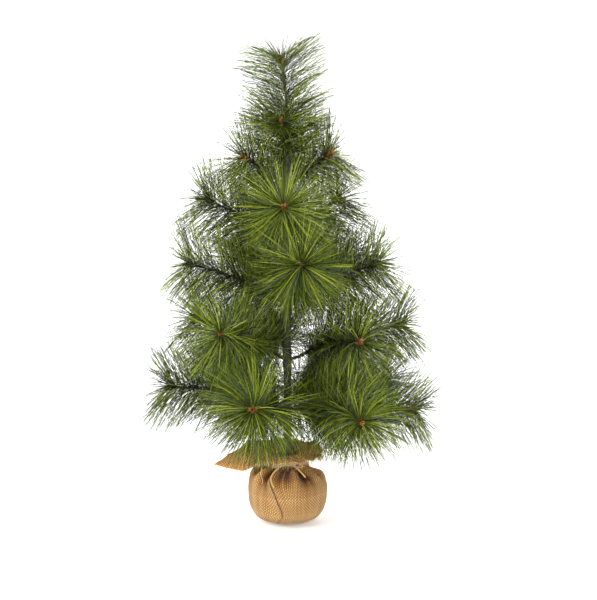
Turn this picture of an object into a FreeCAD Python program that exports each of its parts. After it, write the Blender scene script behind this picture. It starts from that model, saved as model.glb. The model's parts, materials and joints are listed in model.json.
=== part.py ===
"""Artificial tabletop tree: bendable needle branches on a taped trunk, in a burlap-wrapped weight.

Millimetres, +Z up. The origin is the centre of the burlap's resting face, on the trunk's axis.
Azimuths run anticlockwise from +X, seen from above.
"""
import FreeCAD, Part
import math
import os
import Sketcher
from FreeCAD import Placement, Rotation, Vector

AXIS_Y = Vector(0, 1, 0)
AXIS_Z = Vector(0, 0, 1)

# Driving dimensions: alias, value, meaning.
DIMENSIONS = [
    ("foot_radius", 33, "flat of the burlap bundle that the tree stands on"),
    ("belly_radius", 49.8, "widest radius of the burlap bundle"),
    ("belly_height", 34, "height of the widest place"),
    ("side_bend", 60, "radius of the bundle's side between the foot and the belly"),
    ("shoulder_radius", 34, "where the side turns into the gathered top"),
    ("shoulder_height", 73, "height of that turn"),
    ("shoulder_bend", 32, "radius of the side between the belly and the shoulder"),
    ("gather_bend", 14, "radius of the top between the shoulder and the neck"),
    ("cloth", 2, "thickness of the creased burlap"),
    ("neck_radius", 13, "outer radius of the gathered neck"),
    ("neck_bore", 5.4, "hole that the gathered folds leave round the trunk"),
    ("neck_foot", 66, "height where the neck starts"),
    ("neck_head", 80, "height where the neck ends and the collar spreads"),
    ("weight_radius", 40, "cast weight"),
    ("weight_length", 53, "height of the cast weight"),
    ("weight_round", 20, "rounding of the weight's lower edge"),
    ("weight_chamfer", 14, "rounding of the weight's upper edge"),
    ("rod_radius", 2.5, "steel trunk rod"),
    ("rod_foot", 10, "lower end of the rod, inside the weight"),
    ("rod_head", 464, "upper end of the rod"),
    ("wrap_radius", 4.4, "tape-wrapped trunk between the whorls"),
    ("wrap_head", 470, "upper end of the trunk wrap"),
    ("whorl_radius", 5.8, "trunk where a whorl of branch wires is bound in"),
    ("whorl_half", 8, "half the length of a bound whorl"),
    ("whorl_taper", 12, "length over which a whorl runs out into the trunk below it"),
    ("wire_radius", 1.2, "twisted pair of branch wires"),
    ("knuckle_radius", 2, "root of a branch wire, where it bends"),
    ("knuckle_gap", 0.1, "clearance between that root and the trunk wrap"),
    ("bare_wire", 16, "wire left bare at the trunk"),
    ("core_start", 2, "radius of the packed needle roots where they start"),
    ("core_radius", 3.6, "largest radius of the packed needle roots"),
    ("spray", 33, "needles past the end of the wire"),
    ("spray_end", 1, "radius of the needles at their far end"),
    ("leader_radius", 1.6, "leader wire"),
    ("leader_length", 112, "leader wire, from its root to its tip"),
    ("leader_lean", 4, "lean of the leader towards -X, in degrees"),
    ("leader_spray", 22, "needles past the end of the leader wire"),
    ("twine_radius", 1, "jute twine"),
    ("tie_foot", 72.6, "height of the lower turn of twine round the neck"),
    ("tie_pitch", 1.8, "rise from one turn of twine to the next"),
    ("tie_clearance", 0.4, "gap between the twine and the neck"),
    ("knot_radius", 2.8, "knot in the twine"),
]

# One whorl: its height on the trunk, then azimuth, reach of the wire's tip from the trunk's axis,
# and rise of the tip above the whorl for each branch.
WHORLS = {
    "bottom": (142, [(-160, 156, 41), (-105, 153, 32), (-56, 158, 13), (-9, 163, 5),
                     (32, 155, 22), (74, 150, 26), (130, 158, 30)]),
    "low": (208, [(-126, 135, 49), (-40, 116, 34), (7, 148, 40), (98, 140, 32), (159, 131, 45)]),
    "middle": (281, [(-168, 126, 50), (-81, 120, 60), (-20, 120, 52), (52, 118, 48),
                     (118, 122, 52)]),
    "upper": (354, [(172, 105, 54), (-92, 100, 53), (33, 80, 54), (105, 96, 52)]),
    "top": (430, [(-154, 62, 33), (-18, 57, 36), (85, 60, 38)]),
    "crown": (455, [(-104, 31, 54)]),
}

# Rim of the burlap collar: azimuth, radius and height of its lower side. One corner of the cloth
# stands out at the left, and the collar rises towards the back.
COLLAR_RIM = [(-172, 94, 76), (-158, 58, 75), (-138, 44, 79), (-108, 38, 84), (-78, 38, 85),
              (-48, 40, 86), (-18, 44, 89), (14, 44, 94), (45, 46, 96), (80, 50, 96),
              (115, 50, 95), (150, 58, 92), (170, 76, 84)]

# Free twine from the knot. The tails lie down over the bundle's shoulder, and the bow's one loop
# comes back to the knot.
TWINE_ROUTES = {
    "tie_tail_right": [(0.8, -19.5, 75.2), (3.6, -25.8, 78.6), (9.8, -33.6, 77.8),
                       (16.5, -40.3, 70.8), (21.5, -43.8, 63)],
    "tie_tail_left": [(-2.2, -19, 75.2), (-6, -25, 78.4), (-13, -32, 77.2), (-18.5, -39.7, 70.4),
                      (-20, -46, 61), (-16.5, -49.5, 52)],
    "tie_bow_loop": [(3, -17, 76), (8.5, -19.5, 78.2), (14.5, -22, 79.4), (19.5, -25.5, 79.4),
                     (20.5, -29.5, 78.2), (15.5, -29.2, 77.4), (9, -24.4, 77.2), (3.8, -18.9, 75.2)],
}

doc = FreeCAD.newDocument("tabletop_tree")
sheet = doc.addObject("Spreadsheet::Sheet", "dims")
sub_parts = []


def fill_sheet():
    """Puts every driving dimension into the sheet, with its alias."""
    rows = [(alias, value) for alias, value, meaning in DIMENSIONS]
    for whorl, (height, branches) in WHORLS.items():
        rows.append((f"{whorl}_height", height))
        for number, (azimuth, reach, rise) in enumerate(branches, 1):
            rows.append((f"{whorl}_{number}_azimuth", azimuth))
            rows.append((f"{whorl}_{number}_reach", reach))
            rows.append((f"{whorl}_{number}_rise", rise))
    for row, (alias, value) in enumerate(rows, 1):
        sheet.set(f"A{row}", alias)
        sheet.set(f"B{row}", str(value))
        sheet.setAlias(f"B{row}", alias)
    doc.recompute()


def dim(alias):
    return float(sheet.get(alias))


def bind(thing, **sizes):
    """Binds properties to formulas over the sheet's aliases."""
    for name, formula in sizes.items():
        thing.setExpression(name, formula)
    return thing


def primitive(kind, name, **sizes):
    return bind(doc.addObject(f"Part::{kind}", name), **sizes)


def fuse(name, shapes):
    joined = doc.addObject("Part::MultiFuse", name)
    joined.Shapes = shapes
    return joined


def cut(name, base, tool):
    rest = doc.addObject("Part::Cut", name)
    rest.Base = base
    rest.Tool = tool
    return rest


def sub_part(thing, label):
    """Marks an object as a finished sub-part: its label names its file."""
    thing.Label = label
    sub_parts.append(thing)
    return thing


def arc_between(start, end, radius):
    """The shorter arc of that radius that turns anticlockwise from start to end."""
    chord = end - start
    inward = Vector(-chord.y, chord.x, 0).normalize()
    centre = (start + end) * 0.5 + inward * math.sqrt(radius**2 - (chord.Length / 2) ** 2)
    angles = [math.atan2(point.y - centre.y, point.x - centre.x) for point in (start, end)]
    return Part.ArcOfCircle(Part.Circle(centre, AXIS_Z, radius), angles[0], angles[1])


def lathe(name, corners, bends=None):
    """A body turned about Z. Corners are pairs of formulas, radius and height, anticlockwise.

    bends gives, for the side that leaves that corner, the formula of its arc's radius and whether
    it turns anticlockwise.
    """
    bends = bends or {}
    body = doc.addObject("PartDesign::Body", name)
    sketch = body.newObject("Sketcher::SketchObject", f"{name}_outline")
    plane = next(f for f in body.Origin.OriginFeatures if f.Role == "XZ_Plane")
    sketch.AttachmentSupport = [(plane, "")]
    sketch.MapMode = "FlatFace"
    doc.recompute()

    def worth(formula):
        sketch.setExpression("AttachmentOffset.Base.z", formula)
        value = float(sketch.evalExpression(formula))
        sketch.setExpression("AttachmentOffset.Base.z", None)
        return value

    points = [Vector(worth(across), worth(up), 0) for across, up in corners]
    count = len(points)
    first = [1] * count
    for index in range(count):
        start, end = points[index], points[(index + 1) % count]
        if index not in bends:
            sketch.addGeometry(Part.LineSegment(start, end))
            continue
        radius, anticlockwise = bends[index]
        if not anticlockwise:
            start, end = end, start
            first[index] = 2
        sketch.addGeometry(arc_between(start, end, worth(radius)))
    for index in range(count):
        after = (index + 1) % count
        joint = Sketcher.Constraint("Coincident", index, 3 - first[index], after, first[after])
        sketch.addConstraint(joint)
    for index, (across, up) in enumerate(corners):
        for kind, formula, value in (
            ("DistanceX", across, points[index].x),
            ("DistanceY", up, points[index].y),
        ):
            place = Sketcher.Constraint(kind, -1, 1, index, first[index], value)
            number = sketch.addConstraint(place)
            sketch.setExpression(f"Constraints[{number}]", formula)
        if index in bends:
            radius = bends[index][0]
            number = sketch.addConstraint(Sketcher.Constraint("Radius", index, worth(radius)))
            sketch.setExpression(f"Constraints[{number}]", radius)
    turned = body.newObject("PartDesign::Revolution", f"{name}_turned")
    turned.Profile = sketch
    turned.ReferenceAxis = (sketch, ["V_Axis"])
    turned.Angle = 360
    return body


def make_weight():
    """The cast cement weight, with the rod's hole in it."""
    blank = primitive("Cylinder", "weight_blank", Radius="dims.weight_radius",
                      Height="dims.weight_length")
    doc.recompute()
    rounded = doc.addObject("Part::Fillet", "weight_rounded")
    rounded.Base = blank
    rounds = []
    for number, edge in enumerate(blank.Shape.Edges, 1):
        if edge.Curve.TypeId != "Part::GeomCircle":
            continue
        low = edge.CenterOfMass.z < dim("weight_length") / 2
        size = dim("weight_round") if low else dim("weight_chamfer")
        rounds.append((number, size, size))
    rounded.Edges = rounds
    hole = primitive("Cylinder", "weight_hole", Radius="dims.rod_radius",
                     Height="dims.weight_length")
    hole.Placement.Base.z = dim("rod_foot") - dim("cloth")
    weight = sub_part(cut("weight_drilled", rounded, hole), "base_weight")
    weight.Placement.Base.z = dim("cloth")


def make_trunk():
    """The steel rod and the tape wound over it, thicker where the branch wires are bound in."""
    rod = primitive("Cylinder", "rod", Radius="dims.rod_radius",
                    Height="dims.rod_head - dims.rod_foot")
    rod.Placement.Base.z = dim("rod_foot")
    sub_part(rod, "trunk_rod")

    foot = "dims.weight_length + dims.cloth"
    corners = [("dims.rod_radius", foot), ("dims.wrap_radius", foot)]
    for whorl in list(WHORLS)[:-1]:
        middle = f"dims.{whorl}_height"
        swell = f"{middle} - dims.whorl_half"
        corners += [
            ("dims.wrap_radius", f"{swell} - dims.whorl_taper"),
            ("dims.whorl_radius", swell),
        ]
        if whorl != "top":
            corners += [
                ("dims.whorl_radius", f"{middle} + dims.whorl_half"),
                ("dims.wrap_radius", f"{middle} + dims.whorl_half + dims.whorl_taper / 2"),
            ]
    corners += [
        ("dims.whorl_radius", "dims.crown_height + dims.whorl_half"),
        ("dims.rod_radius", "dims.wrap_head"),
        ("0", "dims.wrap_head"),
        ("0", "dims.rod_head"),
        ("dims.rod_radius", "dims.rod_head"),
    ]
    sub_part(lathe("wrap", corners), "trunk_wrap")


def make_burlap():
    """The burlap bundle: a thin bag round the weight, a gathered neck and the spread collar."""
    corners = [
        ("0", "0"),
        ("dims.foot_radius", "0"),
        ("dims.belly_radius", "dims.belly_height"),
        ("dims.shoulder_radius", "dims.shoulder_height"),
        ("dims.neck_radius", "dims.neck_foot"),
        ("dims.neck_radius", "dims.neck_head"),
        ("dims.neck_bore", "dims.neck_head"),
        ("dims.neck_bore", "dims.neck_foot - dims.cloth"),
        ("dims.neck_radius + dims.cloth", "dims.neck_foot - 2 * dims.cloth"),
        ("dims.shoulder_radius - dims.cloth / 2", "dims.shoulder_height - 2 * dims.cloth"),
        ("dims.belly_radius - dims.cloth", "dims.belly_height"),
        ("dims.foot_radius - dims.cloth / 2", "dims.cloth"),
        ("0", "dims.cloth"),
    ]
    bends = {
        1: ("dims.side_bend", True),
        2: ("dims.shoulder_bend", True),
        3: ("dims.gather_bend", True),
        9: ("dims.shoulder_bend - dims.cloth", False),
        10: ("dims.side_bend - dims.cloth", False),
    }
    bag = lathe("bag", corners, bends)
    doc.recompute()

    collar = doc.addObject("Part::Feature", "collar")
    collar.Shape = collar_solid()
    sub_part(fuse("burlap", [bag, collar]), "burlap_wrap")


def collar_solid():
    """A skirt of flat facets from inside the neck out to the rim, one cloth thick."""
    inner = (dim("neck_radius") + dim("neck_bore")) / 2
    lift = Vector(0, 0, dim("cloth"))
    rim = [polar(azimuth, radius, height) for azimuth, radius, height in COLLAR_RIM]
    level = dim("neck_head") - dim("cloth")
    root = [polar(azimuth, inner, level) for azimuth, radius, height in COLLAR_RIM]
    count = len(rim)
    faces = []
    for index in range(count):
        after = (index + 1) % count
        corners = (root[index], root[after], rim[after], rim[index])
        raised = [corner + lift for corner in corners]
        for a, b, c, d in (corners, raised):
            faces += [flat(a, b, c), flat(a, c, d)]
        faces.append(flat(rim[index], rim[after], rim[after] + lift, rim[index] + lift))
        faces.append(flat(root[index], root[after], root[after] + lift, root[index] + lift))
    solid = Part.Solid(Part.Shell(faces))
    if solid.Volume < 0:
        solid.reverse()
    return solid


def flat(*corners):
    return Part.Face(Part.makePolygon(list(corners) + [corners[0]]))


def polar(azimuth, radius, height):
    turn = math.radians(azimuth)
    return Vector(radius * math.cos(turn), radius * math.sin(turn), height)


def make_tie():
    """Two turns of jute round the neck with a knot in front, and its free tails and loop."""
    turns = []
    for number in range(2):
        turn = primitive(
            "Torus", f"tie_turn_{number}", Radius2="dims.twine_radius",
            Radius1="dims.neck_radius + dims.twine_radius + dims.tie_clearance",
        )
        turn.Placement.Base.z = dim("tie_foot") + number * dim("tie_pitch")
        turns.append(turn)
    knot = primitive("Sphere", "tie_knot", Radius="dims.knot_radius")
    knot.Placement.Base = Vector(0, -dim("neck_radius") - dim("knot_radius") - 0.4, 75)
    sub_part(fuse("tie", turns + [knot]), "neck_tie")
    for name, route in TWINE_ROUTES.items():
        tail = doc.addObject("Part::Feature", name)
        tail.Shape = twine_tube(name, [Vector(*point) for point in route])
        sub_part(tail, name)


def twine_tube(name, route):
    """A round tube along straight runs joined by tangent arcs, as large as the runs allow."""
    edges = []
    radii = []
    here = route[0]
    for before, corner, after in zip(route, route[1:], route[2:]):
        back = (before - corner).normalize()
        ahead = (after - corner).normalize()
        turn = math.pi - back.getAngle(ahead)
        reach = 0.45 * min((before - corner).Length, (after - corner).Length)
        radius = reach / math.tan(turn / 2)
        radii.append(radius)
        start = corner + back * reach
        end = corner + ahead * reach
        inward = (back + ahead).normalize()
        centre = corner + inward * math.hypot(radius, reach)
        edges.append(Part.LineSegment(here, start).toShape())
        edges.append(Part.Arc(start, centre - inward * radius, end).toShape())
        here = end
    edges.append(Part.LineSegment(here, route[-1]).toShape())
    path = Part.Wire(edges)
    ring = Part.Circle(route[0], route[1] - route[0], dim("twine_radius")).toShape()
    tube = path.makePipeShell([Part.Wire(ring)], True, True)
    wanted = math.pi * dim("twine_radius") ** 2 * path.Length
    print(f"{name}: length {path.Length:.1f}, tightest arc {min(radii):.1f},"
          f" volume {tube.Volume:.0f} of {wanted:.0f}")
    return tube


def branch(label, root, azimuth, elevation, length, radius, spray):
    """One branch: its twisted wire, and the needles packed round the wire and past its end.

    length, radius and spray are formulas. The branch is built along Z and then laid in its place.
    """
    place = Placement(root, Rotation(AXIS_Z, azimuth) * Rotation(AXIS_Y, 90 - elevation))
    wire = primitive("Cylinder", f"{label}_wire_run", Radius=radius, Height=length)
    knuckle = primitive("Sphere", f"{label}_knuckle", Radius="dims.knuckle_radius")
    stem = sub_part(fuse(f"{label}_stem", [wire, knuckle]), f"{label}_wire")
    stem.Placement = place

    thick = primitive(
        "Cone", f"{label}_thick", Radius1="dims.core_start", Radius2="dims.core_radius",
        Height=f"({length} - dims.bare_wire) / 2",
    )
    thin = primitive(
        "Cone", f"{label}_thin", Radius1="dims.core_radius", Radius2="dims.spray_end",
        Height=f"({length} - dims.bare_wire) / 2 + {spray}",
    )
    thick.setExpression("Placement.Base.z", "dims.bare_wire")
    thin.setExpression("Placement.Base.z", f"({length} + dims.bare_wire) / 2")
    core = fuse(f"{label}_core", [thick, thin])
    bore = primitive("Cylinder", f"{label}_bore", Radius=radius, Height=length)
    needles = sub_part(cut(f"{label}_pile", core, bore), f"{label}_needles")
    needles.Placement = place


def make_branches():
    root_radius = dim("whorl_radius") + dim("knuckle_radius") + dim("knuckle_gap")
    root_formula = "(dims.whorl_radius + dims.knuckle_radius + dims.knuckle_gap)"
    for whorl, (height, branches) in WHORLS.items():
        for number in range(1, len(branches) + 1):
            name = f"{whorl}_{number}"
            azimuth = dim(f"{name}_azimuth")
            across = dim(f"{name}_reach") - root_radius
            elevation = math.degrees(math.atan2(dim(f"{name}_rise"), across))
            root = polar(azimuth, root_radius, dim(f"{whorl}_height"))
            length = f"sqrt((dims.{name}_reach - {root_formula})^2 + dims.{name}_rise^2)"
            branch(f"{whorl}_branch_{number}", root, azimuth, elevation, length,
                   "dims.wire_radius", "dims.spray")


def make_leader():
    """The upright top shoot, which bends on the trunk's upper end."""
    root = Vector(0, 0, dim("wrap_head") + dim("knuckle_radius") + dim("knuckle_gap"))
    branch("leader", root, 180, 90 - dim("leader_lean"), "dims.leader_length",
           "dims.leader_radius", "dims.leader_spray")


def export():
    doc.recompute()
    for thing in doc.Objects:
        bad = {"Invalid", "Error"} & set(thing.State)
        if bad:
            raise RuntimeError(f"{thing.Name} ({thing.Label}) is {bad}")
    os.makedirs("parts", exist_ok=True)
    for thing in sub_parts:
        shape = thing.Shape
        if shape.isNull() or not shape.isValid() or shape.Volume <= 0:
            raise RuntimeError(f"{thing.Label} has no valid solid")
        shape.exportStep(f"parts/{thing.Label}.step")
    print(f"{len(sub_parts)} sub-parts written")


fill_sheet()
make_weight()
make_trunk()
make_burlap()
make_tie()
make_branches()
make_leader()
export()
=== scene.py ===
"""Artificial tabletop tree on a burlap-wrapped foot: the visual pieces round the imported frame."""
import json
import math
import bpy
import numpy as np
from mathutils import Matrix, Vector


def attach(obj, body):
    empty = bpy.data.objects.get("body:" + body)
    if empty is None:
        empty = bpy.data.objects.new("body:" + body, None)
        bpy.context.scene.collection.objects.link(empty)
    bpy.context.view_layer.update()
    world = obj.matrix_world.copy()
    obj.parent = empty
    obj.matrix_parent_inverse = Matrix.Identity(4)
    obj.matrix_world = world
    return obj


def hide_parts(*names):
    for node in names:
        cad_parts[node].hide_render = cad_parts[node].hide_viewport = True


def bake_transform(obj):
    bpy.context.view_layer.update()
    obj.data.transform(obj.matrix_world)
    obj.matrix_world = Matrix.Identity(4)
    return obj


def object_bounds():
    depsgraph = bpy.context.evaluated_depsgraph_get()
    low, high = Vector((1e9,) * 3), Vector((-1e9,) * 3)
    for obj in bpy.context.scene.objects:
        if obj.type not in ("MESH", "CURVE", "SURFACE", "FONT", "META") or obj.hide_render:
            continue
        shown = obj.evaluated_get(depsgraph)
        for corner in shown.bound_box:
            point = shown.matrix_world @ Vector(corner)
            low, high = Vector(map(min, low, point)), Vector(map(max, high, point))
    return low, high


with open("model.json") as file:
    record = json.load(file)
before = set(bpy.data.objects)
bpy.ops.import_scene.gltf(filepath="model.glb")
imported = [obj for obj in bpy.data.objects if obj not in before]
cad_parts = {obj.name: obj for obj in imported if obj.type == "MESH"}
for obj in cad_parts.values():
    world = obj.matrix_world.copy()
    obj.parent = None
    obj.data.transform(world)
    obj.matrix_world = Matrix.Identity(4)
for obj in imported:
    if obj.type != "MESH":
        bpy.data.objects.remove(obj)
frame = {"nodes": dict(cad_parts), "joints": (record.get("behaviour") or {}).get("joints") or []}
cad_low, cad_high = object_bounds()
MM = 0.001
TAU = 2 * math.pi
UP = np.array([0.0, 0.0, 1.0])

# ---------------------------------------------------------------- camera

AIM, DISTANCE, ELEVATION = Vector((0.014, 0, 0.282)), 1.7, 8     # metres, and degrees above level
LENS, SENSOR = 81.1, 36     # mm


def look_from(aim, distance, elevation):
    """The place at that distance from aim, towards -Y and raised by elevation degrees, and the turn that faces aim."""
    e = math.radians(elevation)
    back = Vector((0, -math.cos(e), math.sin(e)))
    return aim + back * distance, back.to_track_quat("Z", "Y").to_euler()


def make_camera():
    data = bpy.data.cameras.new("camera")
    data.lens = LENS
    data.sensor_width = SENSOR
    data.clip_end = 50
    camera = bpy.data.objects.new("camera", data)
    camera.location, camera.rotation_euler = look_from(AIM, DISTANCE, ELEVATION)
    bpy.context.scene.collection.objects.link(camera)
    bpy.context.scene.camera = camera


make_camera()

# ---------------------------------------------------------------- materials


def new_material(name, base, roughness, metallic=0.0, sheen=0.0, specular=0.5):
    """A material with its Principled shader's plain values set on the shader's own sockets."""
    material = bpy.data.materials.new(name)
    material.use_nodes = True
    material.diffuse_color = (*base, 1)
    shader = material.node_tree.nodes["Principled BSDF"]
    shader.inputs["Base Color"].default_value = (*base, 1)
    shader.inputs["Roughness"].default_value = roughness
    shader.inputs["Metallic"].default_value = metallic
    shader.inputs["Sheen Weight"].default_value = sheen
    shader.inputs["Specular IOR Level"].default_value = specular
    return material, material.node_tree, shader


def add(tree, kind, inputs=(), **settings):
    """A node with its settings, its inputs given as values or as the sockets that feed them."""
    node = tree.nodes.new("ShaderNode" + kind)
    for key, value in settings.items():
        setattr(node, key, value)
    for key, value in dict(inputs).items():
        if isinstance(value, bpy.types.NodeSocket):
            tree.links.new(value, node.inputs[key])
        else:
            node.inputs[key].default_value = value
    return node


def maths(tree, operation, *values):
    return add(tree, "Math", enumerate(values), operation=operation).outputs[0]


def vectors(tree, operation, *values, **named):
    inputs = {**dict(enumerate(values)), **named}
    return add(tree, "VectorMath", inputs, operation=operation).outputs[0]


def ramp(tree, factor, stops):
    """A colour ramp through (place, colour) stops; a plain number is a grey."""
    node = add(tree, "ValToRGB", {"Fac": factor})
    elements = node.color_ramp.elements
    while len(elements) < len(stops):
        elements.new(0.5)
    for element, (place, colour) in zip(elements, stops):
        element.position = place
        element.color = (*colour, 1) if isinstance(colour, tuple) else (colour, colour, colour, 1)
    return node.outputs["Color"]


def times(tree, *colours):
    """Colours multiplied together."""
    product = colours[0]
    for colour in colours[1:]:
        inputs = {0: 1.0, 6: product, 7: colour}
        product = add(tree, "Mix", inputs, data_type="RGBA", blend_type="MULTIPLY").outputs[2]
    return product


def noise(tree, vector, scale, detail=2.0, rough=0.5):
    inputs = {"Vector": vector, "Scale": scale, "Detail": detail, "Roughness": rough}
    return add(tree, "TexNoise", inputs).outputs["Fac"]


def attribute(tree, name, output="Fac"):
    return add(tree, "Attribute", attribute_name=name).outputs[output]


def object_place(tree):
    return add(tree, "TexCoord").outputs["Object"]


def stretched(tree, scale_z):
    """The object's own place with its height scaled, so that a pattern runs long up and down."""
    return add(tree, "Mapping", {"Vector": object_place(tree), "Scale": (1.0, 1.0, scale_z)}).outputs[0]


def paint(tree, shader, colour):
    tree.links.new(colour, shader.inputs["Base Color"])


def bump(tree, shader, height, distance, strength=1.0):
    node = add(tree, "Bump", {"Height": height, "Distance": distance, "Strength": strength})
    tree.links.new(node.outputs["Normal"], shader.inputs["Normal"])


def needle_material(name, stops, base, roughness):
    """Needle film: a colour for each needle by its tint, darker at the stem and the tip, with a little mottling."""
    material, tree, shader = new_material(name, base, roughness, specular=0.08)
    shader.inputs["Specular Tint"].default_value = (0.75, 0.85, 0.45, 1)
    colour = ramp(tree, attribute(tree, "tint"), stops)
    shade = ramp(tree, attribute(tree, "along"),
                 [(0.0, 0.46), (0.3, 0.96), (0.7, (0.98, 0.98, 0.95)), (1.0, (0.66, 0.67, 0.68))])
    mottle = ramp(tree, noise(tree, object_place(tree), 90), [(0.3, 0.86), (0.7, 1.14)])
    paint(tree, shader, times(tree, colour, shade, mottle))
    worn = noise(tree, object_place(tree), 400, 1)
    gloss = add(tree, "MapRange", {"Value": worn, "To Min": roughness - 0.08, "To Max": roughness + 0.1})
    tree.links.new(gloss.outputs[0], shader.inputs["Roughness"])
    return material


WEAVE_PITCH = 0.0019     # from one thread of the burlap to the next, metres


def burlap_material():
    """Plain-woven jute: threads across and along the flat cloth, over and under, with open spaces between them and
    slubs; painted shade and light on the weave, in the folds and on the collar.
    """
    material, tree, shader = new_material("burlap_weave", (0.43, 0.25, 0.09), 0.92, sheen=0.12, specular=0.1)
    flat = attribute(tree, "flat", "Vector")
    wander = add(tree, "TexNoise", {"Vector": flat, "Scale": 55.0, "Detail": 2.0}).outputs["Color"]
    wander = vectors(tree, "SUBTRACT", wander, (0.5, 0.5, 0.5))
    placed = vectors(tree, "ADD", flat, vectors(tree, "SCALE", wander, Scale=0.0016))
    counted = add(tree, "SeparateXYZ", {0: vectors(tree, "SCALE", placed, Scale=1 / WEAVE_PITCH)})
    across, along = counted.outputs[0], counted.outputs[1]
    heights, tones = [], []
    for own, other, turn in ((across, along, 0.0), (along, across, 0.5)):
        index = maths(tree, "FLOOR", own)
        profile = maths(tree, "ABSOLUTE", maths(tree, "SINE", maths(tree, "MULTIPLY", own, math.pi)))
        profile = maths(tree, "POWER", profile, 0.75)
        shift = maths(tree, "ADD", maths(tree, "MULTIPLY", index, 0.5), turn)
        phase = maths(tree, "ADD", maths(tree, "MULTIPLY", other, 0.5), shift)
        wave = maths(tree, "SINE", maths(tree, "MULTIPLY", phase, TAU))
        over = maths(tree, "MULTIPLY_ADD", wave, 0.42, 0.60)
        heights.append(maths(tree, "MULTIPLY", profile, over))
        seed = maths(tree, "ADD", index, turn * 37)
        tones.append(add(tree, "TexWhiteNoise", {"W": seed}, noise_dimensions="1D").outputs["Value"])
    height = maths(tree, "MAXIMUM", *heights)
    fibre = noise(tree, placed, 900, 3, 0.65)
    tone = maths(tree, "MULTIPLY", maths(tree, "ADD", *tones), 0.5)
    thread = ramp(tree, tone,
                  [(0.15, (0.410, 0.243, 0.098)), (0.5, (0.465, 0.284, 0.120)), (0.85, (0.53, 0.338, 0.150))])
    # Painted shade in the open spaces between the threads, and a painted highlight on their crowns.
    gap_shade = ramp(tree, height, [(0.12, (0.13, 0.09, 0.05)), (0.45, (0.58, 0.52, 0.43)), (0.8, 1.17)])
    # Painted sheen: where a thread running up the strip lies on top it is lighter, and where one running round lies on
    # top it is darker.
    direction_sheen = ramp(tree, maths(tree, "GREATER_THAN", *heights), [(0.0, (0.66, 0.63, 0.57)), (1.0, (1.26, 1.27, 1.28))])
    # Painted shade and light by the fold attribute: darker and deeper brown in the pleats' hollows, the pits, the
    # front, under the lap and by the neck; lighter and warmer out on the collar.
    painted_shade_and_light = ramp(tree, attribute(tree, "fold"),
                  [(0.0, (1.60, 1.36, 1.10)), (0.2, 1.0), (0.6, (0.66, 0.52, 0.31)), (1.0, (0.25, 0.15, 0.055))])
    strands = ramp(tree, fibre, [(0.25, (0.80, 0.78, 0.74)), (0.75, (1.16, 1.16, 1.15))])
    patches = ramp(tree, noise(tree, flat, 18, 3), [(0.3, (0.90, 0.88, 0.85)), (0.7, 1.08)])
    paint(tree, shader, times(tree, thread, gap_shade, direction_sheen, painted_shade_and_light, strands, patches))
    bump(tree, shader, maths(tree, "MULTIPLY_ADD", fibre, 0.18, height), 0.0008)
    return material


def fibre_material(name, dark, light, roughness=0.85, scale=1500, sheen=0.2):
    """Spun fibres: colour and relief vary finely, and the colour drifts slowly along the thread."""
    base = tuple((a + b) / 2 for a, b in zip(dark, light))
    material, tree, shader = new_material(name, base, roughness, sheen=sheen, specular=0.25)
    place = object_place(tree)
    fine = noise(tree, place, scale, 3, 0.6)
    colour = ramp(tree, fine, [(0.3, dark), (0.72, light)])
    drift = ramp(tree, noise(tree, place, 70), [(0.3, (0.84, 0.83, 0.80)), (0.7, 1.12)])
    paint(tree, shader, times(tree, colour, drift))
    bump(tree, shader, fine, 0.0002, 0.7)
    return material


def bristle_material(name, stops, base):
    """Short bristles: a colour for each by its tint, a little mottled."""
    material, tree, shader = new_material(name, base, 0.6, specular=0.35)
    colour = ramp(tree, attribute(tree, "tint"), stops)
    mottle = ramp(tree, noise(tree, object_place(tree), 600), [(0.3, 0.78), (0.7, 1.2)])
    paint(tree, shader, times(tree, colour, mottle))
    return material


def tape_material():
    """Stretched crepe tape wound round the trunk and the branch roots."""
    base = (0.048, 0.052, 0.032)
    material, tree, shader = new_material("trunk_tape_crepe", base, 0.62, specular=0.35)
    crepe = noise(tree, stretched(tree, 0.25), 900, 3, 0.6)
    blotch = noise(tree, object_place(tree), 60, 4, 0.6)
    colour = ramp(tree, blotch, [(0.3, (0.022, 0.023, 0.014)), (0.5, base), (0.72, (0.095, 0.097, 0.064))])
    worn = ramp(tree, crepe, [(0.3, 0.7), (0.7, (1.25, 1.25, 1.2))])
    paint(tree, shader, times(tree, colour, worn))
    bump(tree, shader, crepe, 0.0003, 0.8)
    return material


def cement_material():
    material, tree, shader = new_material("cement", (0.42, 0.41, 0.38), 0.93, specular=0.2)
    place = object_place(tree)
    grain = noise(tree, place, 700, 4, 0.7)
    cells = add(tree, "TexVoronoi", {"Vector": place, "Scale": 160.0}).outputs["Distance"]
    colour = ramp(tree, noise(tree, place, 40, 4), [(0.3, (0.33, 0.32, 0.30)), (0.7, (0.50, 0.49, 0.46))])
    # Painted shade: darker in the small pits of the cement.
    pits = ramp(tree, cells, [(0.05, (0.55, 0.54, 0.52)), (0.3, 1.0)])
    paint(tree, shader, times(tree, colour, pits))
    bump(tree, shader, maths(tree, "ADD", grain, cells), 0.0006, 0.8)
    return material


def steel_material():
    material, tree, shader = new_material("drawn_steel", (0.46, 0.46, 0.45), 0.38, metallic=1.0)
    drawn = noise(tree, stretched(tree, 0.02), 2500)
    paint(tree, shader, ramp(tree, drawn, [(0.3, (0.36, 0.36, 0.35)), (0.7, (0.55, 0.55, 0.54))]))
    bump(tree, shader, drawn, 0.0001, 0.5)
    return material


def floor_material():
    """A pale floor that gives off a little light of its own, so that it stays as white as the world behind it."""
    material, tree, shader = new_material("pale_floor", (0.97, 0.97, 0.97), 0.8, specular=0.1)
    paint(tree, shader, ramp(tree, noise(tree, object_place(tree), 3), [(0.3, 0.965), (0.7, 0.975)]))
    shader.inputs["Emission Color"].default_value = (1, 1, 1, 1)
    shader.inputs["Emission Strength"].default_value = 0.20
    return material


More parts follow.
